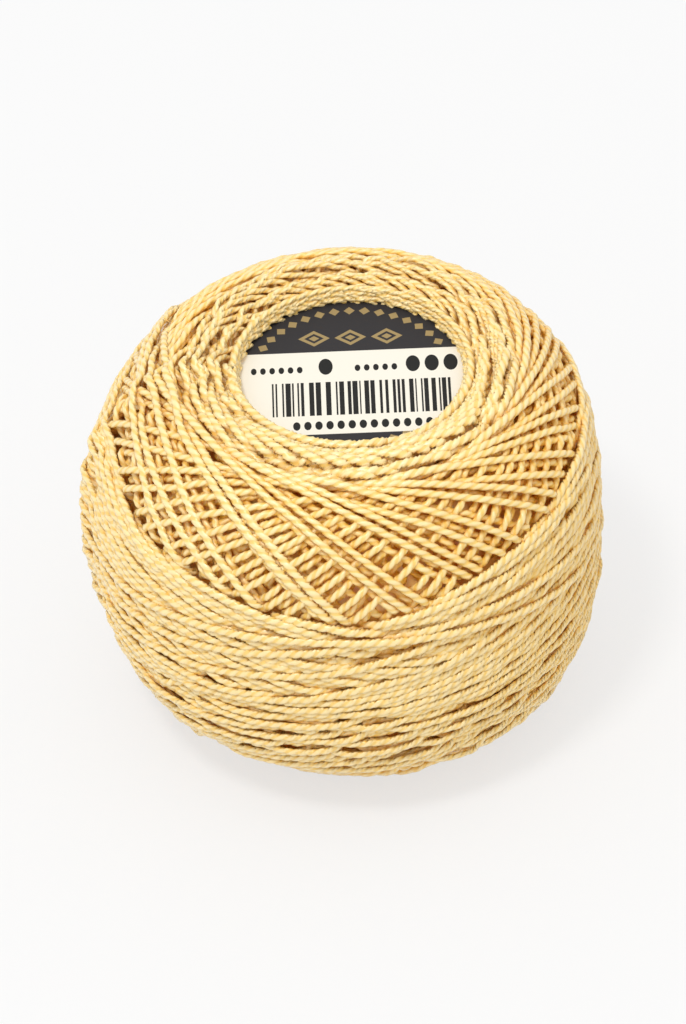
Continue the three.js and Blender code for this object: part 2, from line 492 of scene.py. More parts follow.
def plan_turns():
    """Stage number, nodes and tilts of every turn; turns join end to end."""
    shake = np.random.default_rng(7)
    node = FIRST_NODE
    stage_of, nodes, tilts = [], [], []
    for index, row in enumerate(STAGES):
        stage = dict(zip(STAGE_COLUMNS, row))
        if index == LATTICE_STAGES:
            for node, tilt in CHANGE_OVER:
                stage_of.append(index)
                nodes.append(math.radians(node + FRONT))
                tilts.append(math.radians(tilt))
            node += stage["node_step"]
        for turn in range(stage["turns"]):
            share = turn / stage["turns"]
            tilt = stage["tilt_from"] + (stage["tilt_to"] - stage["tilt_from"]) * share
            top = math.radians(node + 90)
            tilt *= 1 - stage["lean"] * math.cos(top) - stage["oval"] * math.cos(2 * top)
            stage_of.append(index)
            paired = PAIR_SHIFT * (-1) ** turn if stage["name"] == "paired_lattice" else 0.0
            nodes.append(math.radians(node + paired + FRONT + stage["jitter"] * shake.normal()))
            tilts.append(math.radians(tilt + TILT_JITTER * stage["jitter"] * shake.normal()))
            node += stage["node_step"]
    return np.array(stage_of), np.array(nodes), np.array(tilts)


turn_stage, turn_node, turn_tilt = plan_turns()
print(f"{len(turn_stage)} turns planned, {(turn_stage < LATTICE_STAGES).sum()} of them before the girdle")

# %% [markdown]
# Now the ball is wound. Each turn starts with the sideways slide that the one before ended with,
# so the thread is one unbroken line from the first turn to the last.

# %% Wind the ball
import time

wind_start = time.time()
path_outward, path_sideways, path_radius, pressed_then = [], [], [], []
last_slide = 0.0
for turn in range(len(turn_node) - 1):
    laid = wind_turn(turn_node[turn:turn + 2], turn_tilt[turn:turn + 2], last_slide)
    path_outward.append(laid[0])
    path_sideways.append(laid[1])
    path_radius.append(laid[2])
    last_slide = laid[3]
    press(GIRDLE_PROUD if turn_stage[turn] >= LATTICE_STAGES else 0.0)
    pressed_then.append(pressed_at(laid[0]))
outward = np.concatenate(path_outward)
sideways = np.concatenate(path_sideways)
radius = np.concatenate(path_radius) - (pressed_at(outward) - np.concatenate(pressed_then))
stage = np.repeat(turn_stage[:-1], SAMPLES)
print(f"{len(turn_node) - 1} turns wound in {time.time() - wind_start:.1f} s")
for latitude in (0, 30, 52):
    row = int((math.radians(latitude) + MAP_EDGE) / (2 * MAP_EDGE) * ROWS)
    form, sunk = lattice_radius(row_latitude[row]), pressed[row // PATCH_ROWS].mean()
    print(f"  at latitude {latitude} the form is {form:.2f} mm from the centre,"
          f" the winding {height[row].mean():.2f}, and {sunk:.2f} was pressed in")

# %% [markdown]
# ## What still shows
# Most of the thread is buried by now, and only what shows is worth making. A sample shows from
# outside if, somewhere across its width, the thread's own top is the highest thing in the map.


# %% Seen from outside
OUTSIDE_SLACK = 0.04         # mm below the map's height that still counts as the top


def shows():
    """True for each sample of the path that can be seen from outside."""
    places = moved(outward[:, None, :], sideways[:, None, :], LAID_WIDTHS[None, :], radius[:, None])
    return ((radius[:, None] + LAID_LIFT) > height[cells_of(places)] - OUTSIDE_SLACK).any(1)


outside = shows()
depth = (lattice_radius(np.arcsin(outward[:, 2])) - radius)[outside]
print("depth of what shows, in mm:", np.percentile(depth, [1, 50, 90, 99, 99.9]).round(2))

# %% [markdown]
# The path is now turned into points. Three things bound it: in the hole the thread keeps clear
# of the spindle that the ball was wound on, over the label it lies on the card, and underneath
# it stands on the surface. The spindle's bound is eased, or the thread would get a kink there.

# %% Keep the thread off the spindle, the card and the floor
SPINDLE_EASE = 0.04                    # square mm, how softly the thread comes to the spindle
CARD_MARGIN, CARD_DROP = 0.3, 0.5      # mm out from the card's edge, and down from its top
CARD_REST = LABEL_TOP - EQUATOR + 0.8 * THREAD_RADIUS

floor_radius = (EQUATOR - THREAD_RADIUS) / np.maximum(-outward[:, 2], 0.1)
points = outward * np.minimum(radius, floor_radius)[:, None]
from_axis = np.hypot(points[:, 0], points[:, 1])
inward = from_axis - HOLE_RADIUS
kept_out = HOLE_RADIUS + 0.5 * (inward + np.sqrt(inward**2 + SPINDLE_EASE))
points[:, :2] *= (kept_out / from_axis)[:, None]
over_card = points[:, 2] > LABEL_TOP - EQUATOR - CARD_DROP
near_card = (kept_out < LABEL_RADIUS + CARD_MARGIN) & over_card
points[near_card, 2] = np.maximum(points[near_card, 2], CARD_REST)
print(f"{near_card.sum()} samples lie on or beside the card's edge")

# %% [markdown]
# The height map knows one height for each direction from the centre, and that isn't enough near
# a hole. The side of the hole is seen from across it, and the rolled rim is seen from overhead,
# at a slant to the direction from the centre. So the samples there are compared twice more:
# as seen from the axis, in a map of the hole's wall, and as seen from above, in a map of the
# ring's roof.

# %% Seen in the side of a hole
POLE_LEVEL = 13.5                    # a sample further from the equator belongs to a pole
HOLE_REACH = 13.0                    # and nearer to the axis than this it may line the hole
WALL_ROWS, WALL_COLUMNS = 150, 220
HOLE_SLACK = 0.05                    # mm behind the nearest that still counts as nearest


def shows_in_hole():
    """True for each sample that is nearest to the axis somewhere across its width, near a pole."""
    near = np.flatnonzero((kept_out < HOLE_REACH) & (np.abs(points[:, 2]) > POLE_LEVEL))
    row = (np.abs(points[near, 2])[:, None] + LAID_WIDTHS[None, :]) / CELL
    row = row.astype(int) + WALL_ROWS * (points[near, 2] > 0)[:, None]
    around = np.arctan2(points[near, 1], points[near, 0]) / math.pi + 1
    column = (around * WALL_COLUMNS / 2).astype(int) % WALL_COLUMNS
    front = kept_out[near][:, None] - LAID_LIFT[None, :]
    wall = np.full((2 * WALL_ROWS, WALL_COLUMNS), np.inf)
    np.minimum.at(wall, (row, column[:, None]), front)
    result = np.zeros(len(points), bool)
    result[near] = (front < wall[row, column[:, None]] + HOLE_SLACK).any(1)
    return result


in_hole = shows_in_hole()
print(f"{in_hole.sum()} samples show in the sides of the holes")

# %% Seen from above
ROOF_HALF, ROOF_CELL = 20, 0.25      # mm from the axis to the map's edge, and across a cell
ROOF_CELLS = int(2 * ROOF_HALF / ROOF_CELL)


def shows_from_above():
    """True for each sample on the upper ring that is the highest thing somewhere across its width."""
    near = np.flatnonzero(points[:, 2] > POLE_LEVEL)
    places = points[near][:, None, :] + sideways[near][:, None, :] * LAID_WIDTHS[None, :, None]
    top = places[..., 2] + LAID_LIFT
    row, column = (((places[..., axis] + ROOF_HALF) / ROOF_CELL).astype(int) for axis in (0, 1))
    roof = np.zeros((ROOF_CELLS, ROOF_CELLS))
    np.maximum.at(roof, (row, column), top)
    result = np.zeros(len(points), bool)
    result[near] = (top > roof[row, column] - HOLE_SLACK).any(1)
    return result


from_above = shows_from_above()
print(f"{from_above.sum()} samples show on the upper ring from above")

# %% [markdown]
# What shows is cut into stretches. Each is lengthened at both ends, so that it goes on under
# whatever crosses it, and by more on the upper ring, where the ends would be seen at a slant.
# Stretches that are still only a few samples long are left out.

# %% Stretches
LENGTHEN, LENGTHEN_ON_RING, SHORTEST = 4, 10, 12       # samples
RING_STARTS = math.radians(46)                         # latitude


def grown(flags, reach):
    """Flags that spread by a number of samples to both sides."""
    counts = np.convolve(flags.astype(int), np.ones(2 * reach + 1, int), "same")
    return counts > 0


above_card = points[:, 2] > LABEL_TOP - EQUATOR
seen = outside | (in_hole & above_card) | from_above
on_ring = outward[:, 2] > math.sin(RING_STARTS)
visible = grown(seen, LENGTHEN) | (grown(seen, LENGTHEN_ON_RING) & on_ring)
edges = np.flatnonzero(np.diff(np.r_[0, visible.astype(int), 0]))
runs = [(a, b) for a, b in zip(edges[::2], edges[1::2]) if b - a > SHORTEST]
print(f"{len(runs)} stretches show")

# %% [markdown]
# ## The foot of the hole
# Where the side of the hole meets the card, strands lie almost above one another, and a map with
# one height for each direction can't hold them. A coil of its own closes that corner: nearly
# three rounds of the same thread on the card's edge, each a little higher and further out, with
# slow waves so that no round is a perfect circle. It joins the other points as one more stretch.

# %% Lay the foot of the hole
FOOT_ROUNDS = 2.8
FOOT_SAMPLES = 800
FOOT_RADIUS, FOOT_SPREAD, FOOT_HEIGHT = 9.82, 0.30, 1.15         # mm
FOOT_WAVES, FOOT_WAVE_SIZE = (1, 3, 4, 7), 0.05                  # waves in the whole coil, and mm
PATH_REACH = 2                  # samples to either side that smooth the finished path
RIM_STAGE = [row[0] for row in STAGES].index("rim_lattice")      # the coil joins this stage


def foot_of_the_hole():
    """Rounds of thread on the card's edge, each a little higher and further out."""
    shake = np.random.default_rng(5)
    around = np.linspace(0, 2 * FOOT_ROUNDS * math.pi, FOOT_SAMPLES)
    share = around / around[-1]
    waves = sum(shake.normal(0, FOOT_WAVE_SIZE) * np.sin(k * around / FOOT_ROUNDS + shake.uniform(0, 6.3))
                for k in FOOT_WAVES)
    from_axis = FOOT_RADIUS + FOOT_SPREAD * share + waves
    level = CARD_REST + FOOT_HEIGHT * share + 1.5 * np.abs(waves) * share
    return np.stack([from_axis * np.cos(around), from_axis * np.sin(around), level], -1)


foot = foot_of_the_hole()
points = np.concatenate([smoothed(points, PATH_REACH), foot])
outward = np.concatenate([outward, foot / np.linalg.norm(foot, axis=1, keepdims=True)])
stage = np.r_[stage, np.full(len(foot), RIM_STAGE)]
runs.append((len(points) - len(foot), len(points)))
print(f"foot of the hole: {FOOT_ROUNDS} rounds, {foot[:, 2].max() - foot[:, 2].min():.1f} mm high")

# %% [markdown]
# The girdle was wound a little to the left of the holes, so all points near the equator move
# over, and those near the poles stay. After that the points are final, and the distance along
# the thread can be added up: the twist and the fibres follow it.

# %% Measure along the thread
OFF_CENTRE = 0.8             # mm
OFF_CENTRE_FADES = (15, 52)  # latitudes over which the move dies out

from_equator = np.degrees(np.abs(np.arcsin(outward[:, 2])))
points[:, 0] -= OFF_CENTRE * (1 - ease(from_equator, *OFF_CENTRE_FADES))
steps = np.r_[0, np.linalg.norm(np.diff(points, axis=0), axis=1)]
distance = np.cumsum(steps)
shown_length = sum(distance[b - 1] - distance[a] for a, b in runs) / 1000
print(f"{distance[-1] / 1000:.1f} m wound, {shown_length:.1f} m shows in {len(runs)} stretches")

# %% [markdown]
# ## The two-ply section
# Two plies twisted together look like a peanut from the end: two round lobes with a waist. The
# section turns as it goes along, one full turn every couple of millimetres, and that alone gives
# the slanting beads of the thread. Eight corners are enough when they turn with the plies,
# because then the mesh's own edges run along the lobes and the grooves; six do underneath.
# Blender could sweep a curve with a bevel profile, but that twists the profile evenly and gives
# no hold on each ring. Here a ring can also flatten where strands are packed side by side, and
# each corner can note how deep it lies, for the painted shade that the material puts in the gaps
# and under the strands.

# %% The section
FULLNESS = 1.04                 # makes up for the flat sides between the corners
SECTIONS = {8: np.array([1.0, 0.94, 0.79, 0.94] * 2) * THREAD_RADIUS * FULLNESS,
            6: np.array([1.0, 0.88, 0.88] * 2) * THREAD_RADIUS * FULLNESS}   # for the underside
RING_STEP = 0.40                # mm between rings
FEWEST_RINGS = 4
END_SIZES = (0.25, 0.75)        # of the last ring of a stretch and of the one before it
TUCK, TUCK_LENGTH = 0.4, 1.0    # how far the ends of a stretch bend inward, and over how much, in mm
print(f"{len(SECTIONS[8])} corners a ring, {TWIST_PITCH / RING_STEP:.1f} rings to a turn of the plies")


def middle_of(first, last, rings):
    """Distances, middles, and up and across directions of evenly spaced rings on a stretch."""
    at = np.linspace(distance[first], distance[last - 1], rings)
    known = distance[first:last]
    centre = np.stack([np.interp(at, known, points[first:last, axis]) for axis in range(3)], -1)
    forward = np.gradient(centre, axis=0)
    forward /= np.linalg.norm(forward, axis=1, keepdims=True)
    up = centre / np.linalg.norm(centre, axis=1, keepdims=True)
    across = np.cross(forward, up)
    across /= np.linalg.norm(across, axis=1, keepdims=True)
    up = np.cross(across, forward)
    to_end = np.minimum(at - at[0], at[-1] - at)
    centre = centre - up * (TUCK * (1 - ease(to_end, 0, TUCK_LENGTH)))[:, None]
    return at, centre, up, across


# The painted shade: a deeper gold on strands that lie sunk below the lattice's form and on the undersides of
# free strands.
SUNK_FROM, SUNK_RANGE = 0.3, 1.6       # mm above the lattice's form where depth starts, and its range
SUNK_SHADE = 0.85                      # what a sunk strand adds to the depth
UNDERSIDE_SHADE = 0.7                      # what the underside of a free strand adds
FLANK_PACKED, FLANK_HOLE = 0.4, 0.25   # how much less, where strands are packed and near a hole
LATTICE_ENDS = (44, 52)                # latitudes over which the open lattice ends


def gap_shade(angle, latitude, from_middle, packed, near_hole):
    """Painted shade at each corner, from 0 on top of a strand to 1 deep in a gap."""
    open_lattice = 1 - ease(np.degrees(np.abs(latitude)), *LATTICE_ENDS)
    sunk = np.clip((lattice_radius(latitude) + SUNK_FROM - from_middle) / SUNK_RANGE, 0, 1) * open_lattice
    flank = UNDERSIDE_SHADE - FLANK_PACKED * np.minimum(packed, 1) - FLANK_HOLE * near_hole
    return np.clip((0.5 - 0.5 * np.cos(angle)) * flank[:, None] + SUNK_SHADE * sunk[:, None], 0, 1)


def tube_faces(rings, count):
    """Four-sided faces between rings of so many corners."""
    ring = np.arange(rings - 1)[:, None] * count
    corner = np.arange(count)[None, :]
    after = (corner + 1) % count
    quads = np.stack([ring + corner, ring + after, ring + count + after, ring + count + corner], -1)
    return quads.reshape(-1, 4)


# %% Sweep it along a stretch
TALL, WIDE = (0.92, -0.06), (1.10, 0.31)      # of a free strand, and what packing adds to each
NEAR_HOLE = (46, 52)                          # latitudes over which the strands of the ring begin
GIRDLE_ENDS = (14, 24)                        # and over which the tight strands of the girdle end


def sweep(first, last):
    """Corners, faces, thread coordinates and painted shade of the tube along samples first to last."""
    count = 6 if points[(first + last) // 2, 2] < -POLE_LEVEL else 8
    plies = np.arange(count) * 2 * math.pi / count
    rings = max(FEWEST_RINGS, int((distance[last - 1] - distance[first]) / RING_STEP) + 1)
    at, centre, up, across = middle_of(first, last, rings)
    angle = plies[None, :] - (2 * math.pi / TWIST_PITCH) * at[:, None]
    reach = np.broadcast_to(SECTIONS[count], angle.shape).copy()
    for k, size in enumerate(END_SIZES):
        reach[[k, -1 - k]] *= size
    from_middle = np.linalg.norm(centre, axis=1)
    latitude = np.arcsin(centre[:, 2] / from_middle)
    from_equator = np.degrees(np.abs(latitude))
    near_hole = ease(from_equator, *NEAR_HOLE)
    packed = 1 - ease(from_equator, *GIRDLE_ENDS) + near_hole      # how close the strands lie
    if stage[first] >= LATTICE_STAGES:
        packed = np.maximum(packed, 1)
    tall, wide = TALL[0] + TALL[1] * packed, WIDE[0] + WIDE[1] * packed
    corners = (centre[:, None, :] + up[:, None, :] * (tall[:, None] * reach * np.cos(angle))[..., None]
               + across[:, None, :] * (wide[:, None] * reach * np.sin(angle))[..., None])
    # painted shade, from the depth in a gap and the underside of the strand
    depth = gap_shade(angle, latitude, from_middle, packed, near_hole)
    place = np.stack([np.broadcast_to(at[:, None], angle.shape),
                      reach * np.cos(plies), reach * np.sin(plies)], -1)
    return corners.reshape(-1, 3), tube_faces(rings, count), place.reshape(-1, 3), depth.ravel(), count


trial_corners = sweep(*runs[-1])[0]
print(f"the foot of the hole alone takes {len(trial_corners)} corners")

# %% [markdown]
# All stretches of one winding stage go into one mesh, which is quicker to build and to draw than
# thousands of small ones. Blender takes whole arrays through foreach_set, so no loop runs over
# single vertices. Two attributes go with the corners: the place in the thread, for the fibres,
# and the depth, for the painted shade: a deeper gold in the gaps and under the strands.


# %% A mesh from arrays
def smooth_mesh(name, corners, loops, sizes):
    """A smooth mesh from corner places, the faces' corners in one row, and the faces' sizes."""
    mesh = bpy.data.meshes.new(name)
    mesh.vertices.add(len(corners))
    mesh.vertices.foreach_set("co", (corners * MM).ravel())
    mesh.loops.add(len(loops))
    mesh.loops.foreach_set("vertex_index", loops)
    mesh.polygons.add(len(sizes))
    mesh.polygons.foreach_set("loop_start", np.r_[0, np.cumsum(sizes)[:-1]])
    mesh.update(calc_edges=True)
    mesh.polygons.foreach_set("use_smooth", np.ones(len(sizes), bool))
    return mesh


print(f"{len(runs)} stretches, from {len({stage[first] for first, last in runs})} stages")

# %% One piece from many stretches
FLOOR_GAP = 0.01                 # mm between the floor and the strands that are pressed flat on it


def thread_piece(name, chosen):
    """One mesh object of all the chosen stretches, pressed flat where the ball stands."""
    corners, loops, sizes, places, shades = [], [], [], [], []
    base = 0
    for first, last in chosen:
        xyz, quads, place, depth, count = sweep(first, last)
        corners.append(xyz)
        places.append(place)
        shades.append(depth)
        loops.append((quads + base).ravel())
        sizes.append(np.full(len(quads), 4))
        for cap in (np.arange(count)[::-1], len(xyz) - count + np.arange(count)):
            loops.append(cap + base)
            sizes.append([count])
        base += len(xyz)
    corners = np.concatenate(corners)
    corners[:, 2] = np.maximum(corners[:, 2] + EQUATOR, FLOOR_GAP)
    sizes = np.concatenate(sizes)
    mesh = smooth_mesh(name, corners, np.concatenate(loops), sizes)
    along = mesh.attributes.new("thread_place", "FLOAT_VECTOR", "POINT")
    along.data.foreach_set("vector", np.concatenate(places).astype(np.float32).ravel())
    shade_attribute = mesh.attributes.new("painted_shade", "FLOAT", "POINT")
    shade_attribute.data.foreach_set("value", np.concatenate(shades).astype(np.float32))
    mesh.validate()
    print(f"{name}: {len(chosen)} stretches, {int((sizes - 2).sum())} triangles")
    return placed(name, mesh)


# %% Make the thread pieces
PIECE_LIMIT = 190_000            # triangles; a longer stage is divided
RING_TRIANGLES = 16              # between one ring of eight corners and the next
CAP_SHARE = 0.02                 # of a piece, for the closed ends
thread_pieces = []
for index, row in enumerate(STAGES):
    mine = [run for run in runs if stage[run[0]] == index]
    if not mine:
        continue
    lengths = np.array([distance[b - 1] - distance[a] for a, b in mine])
    parts = int(np.ceil(lengths.sum() / RING_STEP * RING_TRIANGLES / PIECE_LIMIT + CAP_SHARE))
    share = np.minimum((np.cumsum(lengths) / lengths.sum() * parts).astype(int), parts - 1)
    for part in range(parts):
        name = row[0] if parts == 1 else f"{row[0]}_{part + 1}"
        chosen = [run for run, mark in zip(mine, share) if mark == part]
        thread_pieces.append(thread_piece(name, chosen))

# %% [markdown]
# ## The inside of the ball
# Under the turns above lies the ball as it was before. It only shows as a dark gold depth
# between the strands, so it is one plain closed form, turned like a pot: an outline of radius
# and height is carried round the axis. It lies deepest under the open lattice, and comes up
# behind the ring, where gaps would otherwise let one see through to the hole.


# %% Inner ball
INNER_LATITUDE, INNER_POINTS = 60.5, 72         # where its side ends, and points along it
UNDER_GIRDLE, RING_RISE = 0.55, 0.75            # mm below the form, and how much it rises again
OPEN_ABOVE, OPEN_BELOW = 1.7, 1.0               # mm deeper under the upper and lower open lattice
OPENS, CLOSES = (16, 30), (46, 54)              # latitudes over which that space opens and closes
CARD_CLEARANCE = 0.7                            # mm from the card's top down to the inner ball
LOWER_HOLLOW = [[0.0, -12.0], [8.6, -12.6]]     # the middle and the edge of its lower end


def inner_outline():
    """Radius and height of the inner ball's outline, from its lower middle to its upper one."""
    latitudes = np.radians(np.linspace(-INNER_LATITUDE, INNER_LATITUDE, INNER_POINTS))
    from_equator = np.degrees(np.abs(latitudes))
    opening = np.where(latitudes > 0, OPEN_ABOVE, OPEN_BELOW) * ease(from_equator, *OPENS)
    radii = lattice_radius(latitudes) - UNDER_GIRDLE - opening + RING_RISE * ease(from_equator, *CLOSES)
    outline = np.stack([radii * np.cos(latitudes), radii * np.sin(latitudes)], -1)
    top = LABEL_TOP - EQUATOR - CARD_CLEARANCE
    return np.concatenate([LOWER_HOLLOW, outline, [[LABEL_RADIUS - 1.0, top], [0.0, top]]])


def inner_ball(outline, segments):
    """A closed surface of revolution inside the winding."""
    turn = np.linspace(0, 2 * math.pi, segments, endpoint=False)
    corners = [(0, 0, outline[0, 1] + EQUATOR)]
    for r, z in outline[1:-1]:
        corners += [(r * math.cos(a), r * math.sin(a), z + EQUATOR) for a in turn]
    corners.append((0, 0, outline[-1, 1] + EQUATOR))
    faces = []
    rows = len(outline) - 2
    for k in range(segments):
        n = (k + 1) % segments
        faces.append((0, 1 + n, 1 + k))
        for row in range(rows - 1):
            a, b = 1 + row * segments, 1 + (row + 1) * segments
            faces.append((a + k, a + n, b + n, b + k))
        last = 1 + (rows - 1) * segments
        faces.append((last + k, last + n, len(corners) - 1))
    mesh = bpy.data.meshes.new("inner_ball")
    mesh.from_pydata((np.array(corners) * MM).tolist(), [], faces)
    mesh.polygons.foreach_set("use_smooth", np.ones(len(faces), bool))
    return placed("inner_ball", mesh)


inner = inner_ball(inner_outline(), segments=120)
print(f"inner ball of {len(inner.data.polygons)} faces")

# %% [markdown]
# ## Helpers for shader nodes
# Both finishes below are small sums made of nodes. Written node by node such sums are hard to
# follow, so a few helpers add a node, wire its inputs and hand back its output, and the sums
# then read almost like arithmetic.


# %% Node helpers
def wired(tree, kind, **inputs):
    """A new shader node; each input is a constant or another node's output."""
    node = tree.nodes.new(kind)
    for name, value in inputs.items():
        socket = node.inputs[int(name[1:])] if name[0] == "_" else node.inputs[name]
        if isinstance(value, bpy.types.NodeSocket):
            tree.links.new(value, socket)
        else:
            socket.default_value = value
    return node


def calc(tree, operation, *values):
    """The output of a math node with those values."""
    node = wired(tree, "ShaderNodeMath", **{f"_{k}": value for k, value in enumerate(values)})
    node.operation = operation
    return node.outputs[0]


def stepped(tree, value, low, high):
    """0 below low, 1 above high, smooth between."""
    node = wired(tree, "ShaderNodeMapRange", Value=value, **{"From Min": low, "From Max": high})
    node.interpolation_type = "SMOOTHSTEP"
    return node.outputs["Result"]


def mixed(tree, share, first, second):
    """Colour between the first and the second."""
    node = tree.nodes.new("ShaderNodeMix")
    node.data_type = "RGBA"
    for socket, value in ((node.inputs[0], share), (node.inputs[6], first), (node.inputs[7], second)):
        if isinstance(value, bpy.types.NodeSocket):
            tree.links.new(value, socket)
        else:
            socket.default_value = value
    return node.outputs[2]


def blank_finish(name, **constants):
    """A new material with its node tree and its Principled shader, where the constants are set."""
    material = bpy.data.materials.new(name)
    material.use_nodes = True
    shader = material.node_tree.nodes["Principled BSDF"]
    for socket, value in constants.items():
        shader.inputs[socket].default_value = value
    return material, material.node_tree, shader


print(f"{len(thread_pieces)} thread pieces wait for their finish")

# %% [markdown]
# ## Cotton
# Pearl cotton is mercerised: its fibres are swollen and smooth, so it shines like silk along the
# plies, while light that enters the gaps bounces from strand to strand and comes out deeper
# gold. The shine is a rough coat over a fairly glossy base, and it is turned down in the gaps as
# painted shade. The colour goes from the crown of each ply, the thread's own colour made paler as
# a painted highlight, to the groove between the plies, darker as painted shade, broken up by
# fibres: a noise that is stretched along the thread. A third, deeper colour is painted shade: it
# takes over by the depth that was noted at each corner, in the gaps, under each strand and on
# strands that lie sunk. Subsurface scattering would be the real cause of that glow, but on
# strands this thin it only gives specks.

# %% Thread finish
# The groove colour is painted shade between the plies, and the deep one painted shade in gaps and under
# strands; the crown colour is the thread's own, made paler as a painted highlight.
CROWN_COLOUR = (1.0, 0.79, 0.39, 1)
GROOVE_SHADE_COLOUR = (0.95, 0.63, 0.16, 1)
GAP_SHADE_COLOUR = (0.93, 0.53, 0.03, 1)
FIBRES = (0.8, 6.5, 6.5)        # fibres to a mm, along the thread and across it
FIBRE_SHARE = 1.4               # how much the fibres change the tone
SHINE = 0.75


def thread_finish():
    """Two-ply cotton, coloured by the place in the thread and the depth in the gaps."""
    material, tree, shader = blank_finish(
        "pearl_cotton", **{"Roughness": 0.38, "Specular IOR Level": 0.7, "Coat Roughness": 0.24})
    place, shade_attribute = (tree.nodes.new("ShaderNodeAttribute") for _ in range(2))
    place.attribute_name, shade_attribute.attribute_name = "thread_place", "painted_shade"
    parts = wired(tree, "ShaderNodeSeparateXYZ", Vector=place.outputs["Vector"])
    lobe = calc(tree, "ABSOLUTE", parts.outputs[1])
    crown = stepped(tree, lobe, 0.05 * THREAD_RADIUS, 1.05 * THREAD_RADIUS)
    stretch = wired(tree, "ShaderNodeVectorMath", _0=place.outputs["Vector"], _1=FIBRES)
    stretch.operation = "MULTIPLY"
    fibre = wired(tree, "ShaderNodeTexNoise", Vector=stretch.outputs[0], Scale=1.0, Detail=2.0)
    streak = calc(tree, "MULTIPLY", calc(tree, "SUBTRACT", fibre.outputs["Fac"], 0.5), FIBRE_SHARE)
    tone = calc(tree, "ADD", crown, streak)
    # painted highlight on the crown of each ply and painted shade in its groove, with fibre streaks of random
    # tone
    on_top = mixed(tree, stepped(tree, tone, 0.0, 1.0), GROOVE_SHADE_COLOUR, CROWN_COLOUR)
    # painted shade: the deeper gold in the gaps, under the strands and on sunk strands
    tree.links.new(mixed(tree, shade_attribute.outputs["Fac"], on_top, GAP_SHADE_COLOUR), shader.inputs["Base Color"])
    # painted shade for the shine too: the coat is turned down where the deeper gold is painted
    shine = calc(tree, "MULTIPLY", calc(tree, "SUBTRACT", 1.0, shade_attribute.outputs["Fac"]), SHINE)
    tree.links.new(shine, shader.inputs["Coat Weight"])
    bump = wired(tree, "ShaderNodeBump", Strength=0.6, Distance=0.00006, Height=tone)
    tree.links.new(bump.outputs["Normal"], shader.inputs["Normal"])
    return material


cotton = thread_finish()
for piece in thread_pieces + [inner]:
    piece.data.materials.append(cotton)
    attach(piece, "root")
    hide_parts("wound_thread")
print(f"{cotton.name} has {len(cotton.node_tree.nodes)} nodes")

# %% [markdown]
# ## The card label
# The label is a printed disc of card: a dark field above and below, with a gold border of small
# lozenges and three larger ones, and a pale field between, for plain dots and stripes. Print has
# no thickness, so it is all in the material. The shader works in mm from the disc's middle, and
# every printed shape is a mask, which is 1 inside the shape and 0 outside. Masks are multiplied
# where all must hold, and the greater is taken where one will do. The stripes have random
# widths, so they say nothing.

# %% Layout of the print
CHARCOAL, INK = (0.028, 0.026, 0.028, 1), (0.012, 0.012, 0.011, 1)
GOLD, CREAM = (0.34, 0.245, 0.105, 1), (0.82, 0.78, 0.68, 1)
DARK_ABOVE, DARK_BELOW = 3.3, -7.1                # mm from the middle
BORDER_RADIUS, BEAD_PITCH, BEAD_SIZE = 8.5, 1.3, 0.48
LOZENGE_PITCH, LOZENGE_LEVEL, LOZENGE_HALF_WIDTH, LOZENGE_END = 3.1, 5.05, 1.35, 4.6
LOZENGE_RIM, LOZENGE_HEART = 0.62, 0.34           # inner side of the rim and size of the heart
STRIPES_LOW, STRIPES_HIGH = -4.75, -0.55
STRIPE_GROUPS = ((-6.8, 0.7), (1.0, 8.3))         # left and right end
STRIPES_AND_GAPS = 29                             # in a group
DOT_ROWS = (                                      # first and last dot, pitch, level and size
    (-8.3, -4.4, 0.78, 1.1, 0.24),
    (-2.2, -2.2, 1.6, 1.4, 0.60),
    (0.5, 3.6, 0.78, 1.1, 0.24),
    (5.2, 8.4, 1.6, 1.4, 0.60),
    (-4.8, 7.3, 0.93, -6.0, 0.31),
)
print(f"{len(DOT_ROWS)} rows of dots and {len(STRIPE_GROUPS)} groups of stripes")


# %% Masks
def inside(tree, value, low, high):
    """1 where the value lies between low and high."""
    return calc(tree, "MULTIPLY", calc(tree, "GREATER_THAN", value, low),
                calc(tree, "LESS_THAN", value, high))


def every(tree, *masks):
    """1 where all masks are 1."""
    result = masks[0]
    for mask in masks[1:]:
        result = calc(tree, "MULTIPLY", result, mask)
    return result


def either(tree, *masks):
    """1 where at least one mask is 1."""
    result = masks[0]
    for mask in masks[1:]:
        result = calc(tree, "MAXIMUM", result, mask)
    return result


def to_nearest(tree, value, pitch, offset=0.0):
    """Signed distance to the nearest of a row of places."""
    shifted = calc(tree, "ADD", calc(tree, "DIVIDE", calc(tree, "SUBTRACT", value, offset), pitch), 0.5)
    return calc(tree, "MULTIPLY", calc(tree, "SUBTRACT", calc(tree, "FRACT", shifted), 0.5), pitch)


def length_of(tree, x, y):
    """The length of the line from the middle to x, y."""
    return calc(tree, "SQRT", calc(tree, "ADD", calc(tree, "MULTIPLY", x, x), calc(tree, "MULTIPLY", y, y)))


print(f"masks are drawn in mm, on a card {2 * LABEL_RADIUS:.1f} mm across")


# %% Dots and stripes
def dots(tree, x, y, first, last, pitch, level, size, tall=1.7):
    """A row of upright oval dots."""
    dx = to_nearest(tree, x, pitch, first)
    dy = calc(tree, "DIVIDE", calc(tree, "SUBTRACT", y, level), tall)
    near = calc(tree, "LESS_THAN", length_of(tree, dx, dy), size)
    return every(tree, near, inside(tree, x, first - pitch / 2, last + pitch / 2))


